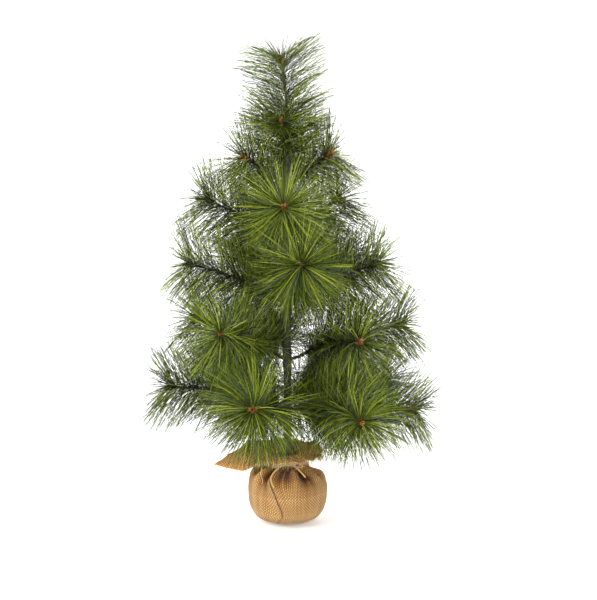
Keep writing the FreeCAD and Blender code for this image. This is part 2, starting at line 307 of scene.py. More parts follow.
# Needle film by tint: from the shaded greens to the bright ones, then the blue-green share from 0.95 on.
GREENS = [
    (0.00, (0.009, 0.015, 0.006)),
    (0.22, (0.019, 0.032, 0.007)),
    (0.42, (0.048, 0.075, 0.010)),
    (0.60, (0.112, 0.158, 0.013)),
    (0.78, (0.235, 0.300, 0.022)),
    (0.92, (0.400, 0.465, 0.065)),
    (0.95, (0.045, 0.062, 0.042)),
    (1.00, (0.095, 0.122, 0.092)),
]
BROWNS = [(0.0, (0.012, 0.010, 0.008)), (0.6, (0.045, 0.032, 0.020)), (1.0, (0.11, 0.075, 0.04))]
OLIVES = [(0.0, (0.030, 0.030, 0.010)), (0.6, (0.10, 0.095, 0.025)), (1.0, (0.20, 0.12, 0.04))]
RUSTS = [(0.0, (0.24, 0.075, 0.015)), (0.5, (0.55, 0.20, 0.04)), (0.85, (0.70, 0.33, 0.09)), (1.0, (0.78, 0.55, 0.30))]
NEEDLES = needle_material("needle_film", GREENS, (0.09, 0.13, 0.02), 0.45)
BRISTLES = bristle_material("stem_bristle", BROWNS, (0.04, 0.03, 0.02))
OLIVE_BRISTLES = bristle_material("stem_bristle_olive", OLIVES, (0.09, 0.085, 0.025))
RUST = bristle_material("bud_bristle", RUSTS, (0.5, 0.18, 0.04))
WIRE = fibre_material("bound_wire", (0.018, 0.014, 0.010), (0.075, 0.052, 0.030), 0.5, 900, 0.0)
OLIVE = fibre_material("bound_wire_olive", (0.060, 0.060, 0.014), (0.18, 0.16, 0.045), 0.5, 900, 0.0)
BURLAP = burlap_material()
THREAD = fibre_material("burlap_thread", (0.42, 0.27, 0.13), (0.74, 0.56, 0.33))
TWINE = fibre_material("jute_twine", (0.40, 0.23, 0.06), (0.80, 0.55, 0.20))
TAPE = tape_material()

# ---------------------------------------------------------------- meshes


def place_piece(name, vertices, faces, material, body, slot=None, replaces=(), values=()):
    """A mesh piece in the row frame, in metres, that rides on a body if one is named."""
    mesh = bpy.data.meshes.new(name)
    mesh.from_pydata(np.asarray(vertices, float).tolist(), [], [list(map(int, f)) for f in faces])
    for key, data in dict(values).items():
        data = np.asarray(data, np.float32)
        kind, field = ("FLOAT_VECTOR", "vector") if data.ndim == 2 else ("FLOAT", "value")
        mesh.attributes.new(key, kind, "POINT").data.foreach_set(field, data.ravel())
    mesh.materials.append(material)
    mesh.shade_smooth()
    mesh.update()
    piece = bpy.data.objects.new(name, mesh)
    bpy.context.scene.collection.objects.link(piece)
    if body:
        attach(piece, body)
    if replaces:
        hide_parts(*replaces)
    return piece


def joined(parts):
    """One (vertices, faces, values) from several."""
    vertices, faces, values, start = [], [], {}, 0
    for v, f, extra in parts:
        vertices.append(v)
        faces += [[i + start for i in face] for face in f]
        for key, data in extra.items():
            values.setdefault(key, []).append(data)
        start += len(v)
    return np.concatenate(vertices), faces, {k: np.concatenate(d) for k, d in values.items()}


def unit(v):
    return v / np.maximum(np.linalg.norm(v, axis=-1, keepdims=True), 1e-12)


def spikes(points, half_width, half_depth, taper, facing, tints):
    """Closed three-sided spikes.

    points is (count, levels, 3), each spike's line from root to tip. taper gives the share of the width at
    each level but the tip.
    """
    count, levels = points.shape[:2]
    tangents = unit(np.gradient(points, axis=1))
    side = unit(np.cross(tangents, facing[:, None, :]))
    face = np.cross(side, tangents)
    rings = []
    for level in range(levels - 1):
        for angle in (90, 210, 330):
            a = math.radians(angle)
            across = half_width[:, None] * math.cos(a) * side[:, level]
            through = half_depth[:, None] * math.sin(a) * face[:, level]
            rings.append(points[:, level] + taper[level] * (across + through))
    vertices = np.stack(rings + [points[:, -1]], axis=1)
    each = vertices.shape[1]
    pattern = [[2, 1, 0]]
    for level in range(levels - 2):
        for k in range(3):
            a, b = 3 * level + k, 3 * level + (k + 1) % 3
            pattern.append([a, b, b + 3, a + 3])
    last = 3 * (levels - 2)
    pattern += [[last + k, last + (k + 1) % 3, each - 1] for k in range(3)]
    faces = [[i * each + p for p in face] for i in range(count) for face in pattern]
    along = np.array([level / (levels - 1) for level in range(levels - 1) for _ in range(3)] + [1.0])
    values = {"tint": np.repeat(tints, each), "along": np.tile(along, count)}
    return vertices.reshape(-1, 3), faces, values


def loose_spikes(rng, points, radius, taper):
    """Round spikes that face anywhere, each with a tint of its own."""
    count = len(points)
    return spikes(points, radius, radius, taper, rng.normal(size=(count, 3)), rng.random(count))


def carried_frames(path):
    """Tangents and two normals carried along a path without twisting."""
    tangents = unit(np.gradient(path, axis=0))
    normal = np.cross(tangents[0], UP if abs(tangents[0][2]) < 0.9 else np.array([1.0, 0, 0]))
    normals = []
    for t in tangents:
        normal = unit(normal - t * (normal @ t))
        normals.append(normal)
    normals = np.array(normals)
    return tangents, normals, np.cross(tangents, normals)


def closed_faces(rings, sides):
    """The faces of a closed tube made of rings with that many points each."""
    faces = []
    for start in range(0, (rings - 1) * sides, sides):
        for k in range(sides):
            a, b = start + k, start + (k + 1) % sides
            faces.append([a, b, b + sides, a + sides])
    return faces + [list(range(sides))[::-1], [(rings - 1) * sides + k for k in range(sides)]]


def tube(path, radius, sides):
    """A closed tube along a path; radius is one number or one for each point."""
    path = np.asarray(path, float)
    _, n, b = carried_frames(path)
    radius = np.broadcast_to(np.asarray(radius, float), (len(path),))
    angles = TAU * np.arange(sides) / sides
    circle = np.cos(angles)[None, :, None] * n[:, None] + np.sin(angles)[None, :, None] * b[:, None]
    rings = path[:, None] + radius[:, None, None] * circle
    return rings.reshape(-1, 3), closed_faces(len(path), sides), {}


def run_along(path):
    """The distance along a line at each of its points."""
    return np.concatenate([[0], np.cumsum(np.linalg.norm(np.diff(path, axis=0), axis=1))])


def at_places(places, run, rows):
    """Rows of three numbers known at the distances in run, at other places between them."""
    return np.stack([np.interp(places, run, rows[:, k]) for k in range(3)], axis=1)


def resampled(path, step):
    """Points at an even step along a line."""
    path = np.asarray(path, float)
    run = run_along(path)
    return at_places(np.linspace(0, run[-1], max(3, int(round(run[-1] / step)) + 1)), run, path)


def twisted(path, count, offset, radius, pitch, sides, step):
    """Strands twisted round each other along a line."""
    path = resampled(path, step)
    _, n, b = carried_frames(path)
    run = np.arange(len(path)) * np.linalg.norm(np.diff(path, axis=0), axis=1).mean()
    parts = []
    for k in range(count):
        a = TAU * (run / pitch + k / count)
        parts.append(tube(path + offset * (np.cos(a)[:, None] * n + np.sin(a)[:, None] * b), radius, sides))
    return joined(parts)


def curved(points, steps):
    """A smooth line through points (Catmull-Rom), for trim and profiles."""
    p = np.asarray(points, float)
    p = np.concatenate([[2 * p[0] - p[1]], p, [2 * p[-1] - p[-2]]])
    t = np.linspace(0, 1, steps, endpoint=False)[:, None]
    out = []
    for a, b, c, d in zip(p, p[1:], p[2:], p[3:]):
        square, cube = 2 * a - 5 * b + 4 * c - d, 3 * b - a - 3 * c + d
        out.append(0.5 * (2 * b + (c - a) * t + square * t ** 2 + cube * t ** 3))
    return np.concatenate(out + [p[-2:-1]])


# ---------------------------------------------------------------- twine: the free ends and the bow's loop

# Each piece: its length in metres, what its far end is, and its way in mm.
ROUTES = {
    "tie_tail_right": (0.0389, "bare", [
        (0.8, -19.5, 75.2), (2.5, -25.0, 77.2), (8.0, -31.5, 76.6), (15.0, -37.5, 72.5), (22.5, -42.5, 64.5)]),
    "tie_tail_left": (0.0503, "bare", [
        (-2.2, -19, 75.2), (-5.0, -25.5, 76.0), (-11.5, -33.0, 73.5), (-18.6, -40.5, 68.0), (-21.6, -46.5, 60.5),
        (-16.6, -50.2, 53.0)]),
    "tie_bow_loop": (0.0429, "object", [
        (3, -17, 77), (7.5, -21.5, 78.4), (13.4, -25.5, 78.2), (18.6, -28.5, 76.8), (19.8, -32.0, 74.8),
        (14.4, -31.8, 73.8), (8.4, -26.5, 74.6), (3.8, -18.9, 76.0)]),
}


def nurbs_line(points):
    """The line of the NURBS spline that has those control points, in metres."""
    curve = bpy.data.curves.new("route", "CURVE")
    curve.dimensions = "3D"
    curve.resolution_u = 16
    spline = curve.splines.new("NURBS")
    spline.points.add(len(points) - 1)
    for control, place in zip(spline.points, points):
        control.co = (*(c * MM for c in place), 1)
    spline.order_u = 3
    spline.use_endpoint_u = True
    route = bpy.data.objects.new("route", curve)
    line = bpy.data.meshes.new_from_object(route)
    path = np.array([v.co for v in line.vertices])
    bpy.data.objects.remove(route)
    bpy.data.curves.remove(curve)
    bpy.data.meshes.remove(line)
    return path


def spun(path, step):
    """Jute twine along a line: three strands of 1 mm twisted together."""
    return twisted(path, 3, 0.48 * MM, 0.53 * MM, 5.5 * MM, 7, step * MM)


def fuzz(rng, path, count, length):
    """Loose fibres standing off a thread, about length mm long."""
    path = resampled(path, 0.5 * MM)
    picks = rng.integers(1, len(path) - 1, count)
    tangents = unit(np.gradient(path, axis=0))[picks]
    out = unit(np.cross(tangents, rng.normal(size=(count, 3))))
    lengths = length * MM * rng.uniform(0.5, 1.3, count)[:, None]
    start = path[picks] + out * 0.6 * MM
    drift = unit(tangents * rng.choice([-1, 1], count)[:, None] + rng.normal(0, 0.4, (count, 3)))
    points = np.stack([start, start + lengths * (0.35 * out + 0.25 * drift),
                       start + lengths * (0.55 * out + 0.8 * drift)], axis=1)
    return loose_spikes(rng, points, np.full(count, 0.05 * MM), [1.0, 0.8])


def make_twine():
    rng = np.random.default_rng(11)
    for name, (length, far_end, points) in ROUTES.items():
        path = nurbs_line(points)
        cord = place_piece(name + "_twine", *spun(path, 0.6)[:2], TWINE, "trunk", "jute_twine", [name])
        v, f, values = fuzz(rng, path, 46, 2.6)
        fibres = place_piece(name + "_fibres", v, f, TWINE, "trunk", "jute_twine", (), values)


make_twine()


def make_tie():
    """Two turns of twine round the gathered neck, and the knot that holds them in front."""
    rng = np.random.default_rng(12)
    angles = np.radians(np.linspace(-90, -90 + 720, 240))
    heights = np.interp(np.degrees(angles), [-90, 230, 320, 630], [72.5, 72.6, 74.3, 74.6])
    radius = 14.3 + 0.25 * np.sin(5 * angles + 0.7)
    turns = np.stack([radius * np.cos(angles), radius * np.sin(angles), heights + 0.2 * np.sin(3 * angles)], axis=1)
    turns = turns * MM
    t = np.linspace(0, TAU, 90)
    knot = np.stack([1.15 * (np.sin(t) + 2 * np.sin(2 * t)), 0.95 * -np.sin(3 * t) - 16.4,
                     0.85 * (np.cos(t) - 2 * np.cos(2 * t)) + 75.2], axis=1) * MM
    parts = [spun(turns, 0.8), spun(knot, 0.6)]
    place_piece("neck_tie_twine", *joined(parts)[:2], TWINE, "trunk", "jute_twine", ["neck_tie"])
    v, f, values = fuzz(rng, turns, 90, 2.4)
    place_piece("neck_tie_fibres", v, f, TWINE, "trunk", "jute_twine", (), values)


make_tie()

# ---------------------------------------------------------------- burlap

# The rim of the collar: azimuth, radius and height of the cloth's free edge.
RIM = [(-172, 94.5, 73), (-160.7, 60.5, 66), (-149, 54, 75), (-140, 46, 81), (-120, 38.5, 81.5), (-90, 36.5, 81),
       (-60, 38, 81.5), (-35, 41, 82), (-15, 45, 83.5), (5, 45, 90), (30, 43, 95), (60, 44, 90), (85, 48, 92),
       (115, 49, 92), (149.4, 59, 92), (169, 74, 81)]
# The bundle's side from under its foot, over the shoulder and down into the neck: radius, height and depth of its
# pleats, then how far the radius and height move in front, and at the right, where the top has sunk.
SIDE = [(9, 0.9, 0, 0, 0, 0, 0), (18, 0.9, 0, 0, 0, 0, 0), (28, 0.9, 0, 0, 0, 0, 0), (34, 1.6, 0, 0, 0, 0, 0),
        (39.5, 4.2, 0.1, 0, 0, 0, 0), (43.8, 8.6, 0.3, 0, 0, 0, 0), (47.4, 14.5, 0.5, 0, 0, 0, 0),
        (49.6, 23, 0.6, 0, 0, 0, 0), (50.6, 33, 0.8, 0, 0, 0, 0), (50.8, 42, 1.2, 0, 0, 0, 0),
        (50.2, 50, 2.4, -0.3, -1, -0.8, -1), (48.5, 57.5, 5, -0.8, -2.4, -0.6, -2.5),
        (44.9, 63.7, 8, -0.8, -3, -0.5, -3.5), (39, 68, 10, -0.5, -3, 0.5, -5.5), (32, 71.3, 10.5, 0, -3, 2, -6.5),
        (26.5, 73, 9.5, 0, -3, 1, -4.5), (21, 71.8, 6.5, 0, -2, 0.5, -1.3), (16.8, 68.8, 4, 0, -1, 0, 0),
        (13.2, 67.2, 3.2, 0, 0, 0, 0), (10.6, 69.5, 3.2, 0, 0, 0, 0), (9.8, 74, 3.2, 0, 0, 0, 0),
        (10, 78, 3, 0, 0, 0, 0)]
WOUND_RADIUS = 49.4      # mm; it turns an angle into a distance along the flat strip
PLEATS = 9
# Where the strip's tucked edge lies, and how far the outer edge laps over it.
LAP_AT, LAP = math.radians(-120), math.radians(14)
# The outer edge wanders: distance along the cloth from the foot, and degrees to one side.
SEAM = [(24, -4), (33, -3), (44, 6), (53, 5), (62, 1), (72, -3), (90, -11)]
COLUMNS, COLLAR_ROWS = 480, 24
CLOTH_THICKNESS = 0.8    # mm


def rim_at(theta):
    """(radius, height) of the collar's edge at some angles; the edge runs straight between the rim's points."""
    corners = [(r * math.cos(math.radians(a)), r * math.sin(math.radians(a)), z, math.radians(a)) for a, r, z in RIM]
    radius, height = np.zeros(len(theta)), np.zeros(len(theta))
    for (x0, y0, z0, a0), (x1, y1, z1, a1) in zip(corners, corners[1:] + corners[:1]):
        span = (a1 - a0) % TAU
        within = (theta - a0) % TAU <= span
        c, s = np.cos(theta[within]), np.sin(theta[within])
        share = (x0 * s - y0 * c) / ((x0 - x1) * s - (y0 - y1) * c)
        radius[within] = (x0 + share * (x1 - x0)) * c + (y0 + share * (y1 - y0)) * s
        height[within] = z0 + share * (z1 - z0)
    return radius, height


def hollow_at(theta):
    """0 on the pleats' folds and near 1 in the hollows between, each with a small fold of its own."""
    turned = theta + math.pi / 2
    phase = PLEATS * turned + 0.5 * np.sin(2 * turned) + 0.35 * np.sin(5 * turned)
    inner = 1 - 0.35 * np.exp(-(np.sin(phase / 2) / 0.2) ** 2)
    return (0.5 + 0.5 * np.cos(phase)) ** 0.6 * inner


def near_angle(theta, middle, flat, end):
    """1 within flat degrees of the middle angle, easing to 0 at end degrees."""
    away = np.abs(np.degrees((theta - math.radians(middle) + math.pi) % TAU - math.pi))
    t = np.clip((end - away) / (end - flat), 0, 1)
    return t * t * (3 - 2 * t)


def ring(radius, angle, height):
    """A row of points from polar coordinates."""
    return np.stack([radius * np.cos(angle), radius * np.sin(angle), height + 0 * angle], axis=1)


def make_burlap():
    """The cloth as one open grid: rows from under the foot to the rim, columns round from the tucked edge."""
    theta = LAP_AT + (TAU + LAP) * np.arange(COLUMNS + 1) / COLUMNS
    lip = 1.7 * np.clip(1 - (LAP_AT + TAU + LAP - theta) / 0.09, 0, 1)
    tucked = 1.4 * np.clip((LAP_AT + LAP + 0.05 - theta) / 0.08, 0, 1)
    # Painted shadow on the tucked edge, where the outer edge laps over it.
    shaded = np.clip((LAP_AT + LAP + 0.07 - theta) / 0.06, 0, 1)
    front = near_angle(theta, -90, 38, 78)
    right = near_angle(theta, -5, 35, 70) * (1 - front)
    hollow = hollow_at(theta)
    crease = 0.5 + 0.5 * np.cos(9 * theta + 1.5 * np.sin(2 * theta + 1))
    small = 0.5 + 0.5 * np.cos(31 * theta + 2.0 * np.sin(3 * theta))
    # The pleats are deeper over the two pits in front and shallower between them.
    strength = 0.85 + 0.15 * np.sin(3 * theta + 1.0) * np.cos(2 * theta)
    strength = strength * (1 + 0.35 * near_angle(theta, -129, 6, 24) + 0.30 * near_angle(theta, -54, 6, 22)
                           - 0.15 * near_angle(theta, -90, 4, 20))
    # Painted shade in the two pits in front and across the front.
    pit_shade = near_angle(theta, -128, 6, 22) + 0.7 * near_angle(theta, -57, 6, 20)
    front_shade = near_angle(theta, -92, 26, 46)

    side = curved(SIDE, 4)
    run = run_along(side[:, :2])
    wander = np.radians(np.interp(run, *zip(*SEAM)))
    base_r = side[:, 0:1] + side[:, 3:4] * front + side[:, 5:6] * right
    base_z = side[:, 1:2] + side[:, 4:5] * front + side[:, 6:7] * right
    dr, dz = np.gradient(base_r, axis=0), np.gradient(base_z, axis=0)
    size = np.hypot(dr, dz)
    in_r, in_z = -dz / size, dr / size
    rows, flats, shade_and_light_amounts = [], [], []
    for i in range(len(side)):
        depth = max(side[i, 2], 0)
        high = np.clip((run[i] - 62) / 40, 0, 1)
        low = np.clip((run[i] - 22) / 25, 0, 1)
        neck = np.clip((run[i] - 108) / 18, 0, 1)
        sunk = depth * (hollow - 0.15 * front) * strength
        dip = sunk + (1 - high) * 0.9 * crease ** 3 * low + (0.5 * high * (1 - 0.7 * front) + 3.6 * neck) * small
        swirl = theta + 0.03 * np.sin(4 * theta + run[i] * 0.05) * low + wander[i] * near_angle(theta, -106, 6, 26)
        slack = 0.5 * np.sin(3 * theta + 0.4) * low * (1 - high)
        r = base_r[i] + in_r[i] * dip + slack - tucked + lip * (1 - neck)
        rows.append(ring(np.maximum(r, 5.6 * neck), swirl, base_z[i] + in_z[i] * dip))
        flats.append(np.stack([WOUND_RADIUS * (theta - LAP_AT), np.full(COLUMNS + 1, run[i]), 0 * theta], axis=1))
        # Painted shade: more in the hollows, the pits and the front, and painted shadow where the edge is tucked; 0.2
        # leaves the colour plain.
        fold = 0.2 + 0.5 * hollow ** 1.5 * depth / 8 + 0.6 * pit_shade * depth / 10 + 0.25 * front_shade * depth / 10
        shade_and_light_amounts.append(np.clip(fold + 0.4 * shaded, 0, 1))

    # The collar spreads from the neck to its rim in waves, and hangs lower where it is long.
    radius, height = rim_at(theta)
    r0, z0 = np.hypot(rows[-1][:, 0], rows[-1][:, 1]), rows[-1][:, 2]
    folds = 11 * theta + 1.2 * np.sin(2 * theta) + 0.9 * np.sin(3 * theta + 2)
    long = np.clip((radius - 50) / 25, 0, 1)
    waved = (1.0 + 0.5 * (0.5 + 0.5 * np.sin(theta)) ** 2) * (1 - 0.7 * near_angle(theta, 20, 45, 80))
    waved = waved * (1 - 0.8 * long)
    bulge = (2.6 + 3.0 * front) * (1 - 0.5 * long)
    ragged = 0.7 * np.sin(17 * theta + 1) + 0.5 * np.sin(31 * theta + 2) + 0.5 * np.sin(53 * theta)
    for i in range(1, COLLAR_ROWS + 1):
        t = i / COLLAR_ROWS
        open_out = t ** 1.1
        lift = math.sin(math.pi * min(1, t * 1.25) ** 0.8 * 0.62)
        r = r0 + (radius + ragged * t ** 6 - r0) * open_out + (1 - t) * 1.2 * (0.5 - hollow)
        z = z0 + (height - z0) * open_out + bulge * math.sin(math.pi * t ** 0.85)
        z = z + lift * waved * (np.sin(folds) + 0.4 * np.sin(2 * folds + 1))
        z = z + 6.0 * (0.4 - hollow) * (1 - t) ** 1.5 * lift - 0.8 * tucked
        z = z + 5.4 * (0.5 - small) * min(1, 6 * t) * (1 - t) ** 1.4
        twist = theta + 0.05 * t * np.sin(folds + 1.2) * (1 - long)
        rows.append(ring(r, twist, z))
        flats.append(ring(r, twist + 0.25, 500.0))
        # On the collar: painted shade next to the neck, painted light further out.
        shade_and_light_amounts.append(np.clip(1.0 - 4 * t + 0 * theta, 0.0, 1))

    grid = np.stack(rows)
    wide = COLUMNS + 1
    corners = [i * wide + k for i in range(len(rows) - 1) for k in range(COLUMNS)]
    faces = [[a, a + wide, a + wide + 1, a + 1] for a in corners]
    values = {"flat": np.concatenate(flats) * MM, "fold": np.concatenate(shade_and_light_amounts)}
    vertices = grid.reshape(-1, 3) * MM
    cloth = place_piece("burlap_cloth", vertices, faces, BURLAP, "trunk", "burlap", ["burlap_wrap"], values)
    thick = cloth.modifiers.new("thickness", "SOLIDIFY")
    thick.thickness = CLOTH_THICKNESS * MM
    thick.offset = 0
    return cloth, grid


def rim_threads(rng, edge, inner, count):
    """Frayed threads along the collar's cut edge; they hang more in front."""
    picks = rng.integers(0, len(edge), count)
    out = unit(edge[picks] - inner[picks])
    side = unit(np.cross(out, UP))
    facing = unit(edge[picks] * (1, 1, 0))[:, 1:2]
    low = np.clip(0.55 - 0.6 * facing, 0, 1)
    length = rng.uniform(1.8, 5.5, count)[:, None] * np.where(rng.random(count) < 0.15, 1.6, 1.0)[:, None]
    length = length * (0.8 + 0.45 * low)
    heading = out * (1 - 0.6 * low) + side * rng.normal(0, 0.3, (count, 1))
    heading = unit(heading + UP * (rng.normal(-0.1, 0.2, (count, 1)) - 0.9 * low))
    start = edge[picks] - 1.5 * out
    end = start + length * heading - UP * 0.28 * length + side * rng.normal(0, 0.5, (count, 1))
    points = np.stack([start, start + 0.4 * length * heading,
                       start + 0.75 * length * heading - UP * 0.10 * length, end], axis=1) * MM
    return loose_spikes(rng, points, rng.uniform(0.16, 0.34, count) * MM, [1.0, 0.95, 0.8])


def seam_threads(rng, grid, count):
    """Short threads along the strip's outer edge."""
    rows = rng.integers(12, 46, count)
    start = grid[rows, -1]
    back = unit(grid[rows, -1] - grid[rows, -3])
    away = unit(start * (1, 1, 0))
    length = rng.uniform(0.8, 2.4, count)[:, None]
    points = np.stack([start - back, start + length * (0.5 * back + 0.12 * away),
                       start + length * (back + 0.1 * away - 0.2 * UP)], axis=1) * MM
    return loose_spikes(rng, points, rng.uniform(0.14, 0.26, count) * MM, [1.0, 0.85])


def make_fringe(grid):
    """Frayed threads along the collar's cut edge and the strip's outer edge, and one long loose thread in front."""
    rng = np.random.default_rng(21)
    edge = grid[-1]
    parts = [rim_threads(rng, edge, grid[-4], 760), seam_threads(rng, grid, 90)]
    k = int((len(edge) - 1) * (math.radians(-137) - LAP_AT + TAU) / (TAU + LAP))
    loose = curved([edge[k] - (0, 0, 0.3), edge[k] + (-0.8, -4.5, -3.0), (-33.0, -39.5, 68.0), (-31.0, -40.8, 60.5),
                    (-31.6, -41.4, 54.5)], 8)
    v, f, _ = tube(resampled(loose, 1.0) * MM, 0.34 * MM, 5)
    parts.append((v, f, {"tint": np.full(len(v), 0.7), "along": np.full(len(v), 0.5)}))
    v, f, values = joined(parts)
    return place_piece("burlap_fringe", v, f, THREAD, "trunk", "burlap", (), values)


cloth, cloth_grid = make_burlap()
fringe = make_fringe(cloth_grid)

# ---------------------------------------------------------------- trunk

TAPE_PITCH = 11.0     # height of one turn of the tape, mm


def make_trunk():
    """The taped trunk: lobed where branch wires run under the tape, with the tape's winding as a low spiral step."""
    whorls = sorted({round(j["pos_m"][2] / MM) for j in frame["joints"]})[:-1]
    z = np.arange(55, 471, 1.6)
    near = np.array([min(abs(h - w) if h > w else abs(h - w) * 0.8 for w in whorls) for h in z])
    above = np.array([sum(w > h for w in whorls) for h in z])
    base = np.maximum(4.35 + 1.35 * np.clip((20 - near) / 12, 0, 1), 4.1 + 0.12 * above)
    columns = 40
    theta = TAU * np.arange(columns) / columns
    rows = []
    for h, r in zip(z, base):
        lobes = 0.24 * np.sin(5 * theta + h * 0.02) + 0.14 * np.sin(9 * theta - h * 0.035)
        wound = (theta / TAU + h / TAPE_PITCH) % 1.0
        step = 0.34 * (wound - 0.5) + 0.12 * np.sin(h * 0.9 + 3 * theta)
        rows.append(ring(r + lobes + step, theta, h))
    faces = closed_faces(len(rows), columns)
    place_piece("trunk_tape_wrap", np.concatenate(rows) * MM, faces, TAPE, "trunk", "trunk_tape", ["trunk_wrap"])


make_trunk()
for node, material in (("base_weight", cement_material()), ("trunk_rod", steel_material())):
    frame["nodes"][node].data.materials.clear()
    frame["nodes"][node].data.materials.append(material)

# ---------------------------------------------------------------- branches

BARE, BARE_ABOVE = {"bottom": 9.0, "low": 20.0, "middle": 10.0}, 6.0     # wire without needles at the root, mm
PER_MM = 9.3              # needles on each mm of stem
TUFT = 3                  # neighbouring needles cut from one strip of film
GOLDEN_ANGLE = 2.39996    # from one tuft to the next round the stem, radians
AT_TIP, AHEAD = 70, 7     # more needles in the last stretch, and those set at the very tip
TIP_STRETCH, AHEAD_STRETCH = 14.0, 2.5     # mm of stem that those stand on
LONG, SPREAD, SHORTEST, LONGEST = 67.0, 6.0, 48, 84     # lengths of needles, mm
HALF_WIDTH, HALF_SPREAD = 0.335, 0.04     # mm
FORWARD = 34.5            # the most that a needle reaches past the tip of its stem, mm
LENGTHEN = {"bottom_branch_2": 1.14, "bottom_branch_3": 1.06}
FULLER = {"bottom_branch_2": 60, "bottom_branch_3": 30}     # more needles near the tips of the two lowest in front
SIDE_BOW = {"low_branch_2": -0.10, "bottom_branch_3": -0.05}     # branches bent round to the front, share of length
# Few needles cross the bare trunk between these x and these heights, in mm; this share of them is kept.
CLEAR_X, CLEAR_Z, CLEAR_KEEP = (-12, 26), (160, 208), 0.3
SPARE_SHARE, SPARE = 0.03, 9.0     # how far needles may pass the CAD box: share of each side, and mm
BUD = {"bottom_branch_1": 0.5, "bottom_branch_2": 1.1, "bottom_branch_3": 0.9, "low_branch_1": 0.45,
       "low_branch_2": 1.0, "low_branch_3": 0.6, "middle_branch_1": 0.55, "middle_branch_2": 0.5,
       "middle_branch_3": 0.6, "upper_branch_1": 0.6, "upper_branch_2": 1.0, "top_branch_2": 1.3,
       "crown_branch_1": 0.7}     # size of the tuft of bristles at the tip, 0.75 on the others
DARK_BUDS = {"bottom_branch_1", "middle_branch_1", "middle_branch_3", "upper_branch_1"}


def stem_ends(joint):
    """A branch's hinge point and its wire's tip, in mm."""
    root = np.array(joint["pos_m"]) / MM
    mesh = frame["nodes"][joint["child"] + "_wire"].data
    points = np.array([v.co for v in mesh.vertices]) / MM
    reach = np.linalg.norm(points - root, axis=1)
    return root, points[reach > reach.max() - 0.6].mean(axis=0)


def inside_box(lines):
    """The same needles, shortened where they would reach too far past the CAD box."""
    low_edge, high_edge = np.array(cad_low) / MM, np.array(cad_high) / MM
    spare = SPARE_SHARE * (high_edge - low_edge) + SPARE
    root = lines[:, 0]
    reach = lines[:, -1] - root
    room = np.where(reach > 0, high_edge + spare - root, low_edge - spare - root)
    moves = np.abs(reach) > 1e-6
    share = np.min(room / np.where(moves, reach, 1e-6), axis=1, where=moves, initial=1.0)
    return scaled(lines, np.minimum(share, 1.0))


def scaled(lines, shares):
    """Each needle's line scaled about its root."""
    return lines[:, :1] + (lines - lines[:, :1]) * shares[:, None, None]


def cross_axes(direction):
    a = unit(np.cross(direction, UP if abs(direction[2]) < 0.95 else np.array([0.0, 1.0, 0.0])))
    return a, np.cross(a, direction)


def stem_line(rng, body, root, tip):
    """The wire's line from the hinge to its tip, bowed upward and to one side."""
    direction = unit(tip - root)
    length = np.linalg.norm(tip - root)
    a, b = cross_axes(direction)
    t = np.linspace(0, 1, 40)[:, None]
    rise = 0.0 if body == "leader" else 0.035
    aside = rng.normal(0, 0.012) + SIDE_BOW.get(body, 0.0)
    bow = np.sin(math.pi * t) * length * (a * aside + b * (rise + rng.normal(0.0, 0.010)))
    return root + (tip - root) * t + bow


def needle_lines(rng, line, bare, upright, longer, at_tip):
    """Needles set round a stem, closing a little towards its tip, each drooping and bowed, and a tone for each."""
    tangents, n, _ = carried_frames(line)
    run = run_along(line)
    total = run[-1]
    even = int((total - bare) * PER_MM / TUFT) * TUFT
    count = even + at_tip + AHEAD
    tuft = np.arange(count) // TUFT
    tufts = tuft[-1] + 1
    place = np.empty(count)
    place[:even] = bare + (total - bare) * (tuft[:even] + rng.random(even)) / (even // TUFT)
    place[even:even + at_tip] = total - TIP_STRETCH * rng.random(at_tip)
    place[even + at_tip:] = total - AHEAD_STRETCH * rng.random(AHEAD)
    start = at_places(place, run, line)
    t = unit(at_places(place, run, tangents))
    side = unit(at_places(place, run, n))
    other = np.cross(t, side)
    turn = (np.arange(tufts) * GOLDEN_ANGLE + rng.normal(0, 0.4, tufts))[tuft] + rng.normal(0, 0.20, count)
    out = np.cos(turn)[:, None] * side + np.sin(turn)[:, None] * other

    wide, close, tuft_sd, needle_sd, ahead = (66, 60, 4, 4, 2) if upright else (63, 56, 6, 5, AHEAD)
    closing = np.clip((place - (total - 12)) / 12, 0, 1) ** 1.5
    angle = wide + (close - wide) * closing + rng.normal(0, tuft_sd, tufts)[tuft] + rng.normal(0, needle_sd, count)
    angle[-ahead:] = np.abs(rng.normal(30, 12, ahead))
    angle = np.radians(angle)
    heading = np.cos(angle)[:, None] * t + np.sin(angle)[:, None] * out
    length = np.clip(rng.normal(LONG, SPREAD, count) * longer, SHORTEST, LONGEST)
    forward = (FORWARD - (8 if upright else 0)) * rng.uniform(0.75, 1.0, count) + total - place
    length = np.minimum(length, forward / np.maximum(np.cos(angle), 0.05))
    short = rng.random(count) < 0.06
    length[short] *= rng.uniform(0.55, 0.85, short.sum())

    level = np.linalg.norm(heading[:, :2], axis=1)
    droop = (0.10 if upright else 0.16) * rng.normal(1.0, 0.3, count) * (0.4 + 0.6 * level)
    aside = unit(np.cross(heading, rng.normal(size=(count, 3)))) * rng.normal(0, 0.045, (count, 1))
    bend = aside + 0.05 * t - droop[:, None] * UP
    lines = np.stack([start + length[:, None] * (s * heading + s * s * bend)
                      for s in (0.0, 0.3, 0.64, 0.93, 1.0)], axis=1)
    drawn = np.linalg.norm(np.diff(lines, axis=1), axis=2).sum(axis=1)
    tone = rng.normal(0, 0.10, tufts)[tuft]
    x, z = lines[:, 2:, 0], lines[:, 2:, 2]
    crossing = ((x > CLEAR_X[0]) & (x < CLEAR_X[1]) & (z > CLEAR_Z[0]) & (z < CLEAR_Z[1])).any(axis=1)
    kept = ~crossing | (rng.random(count) < CLEAR_KEEP)
    return inside_box(scaled(lines[kept], (length / drawn)[kept])), tone[kept]


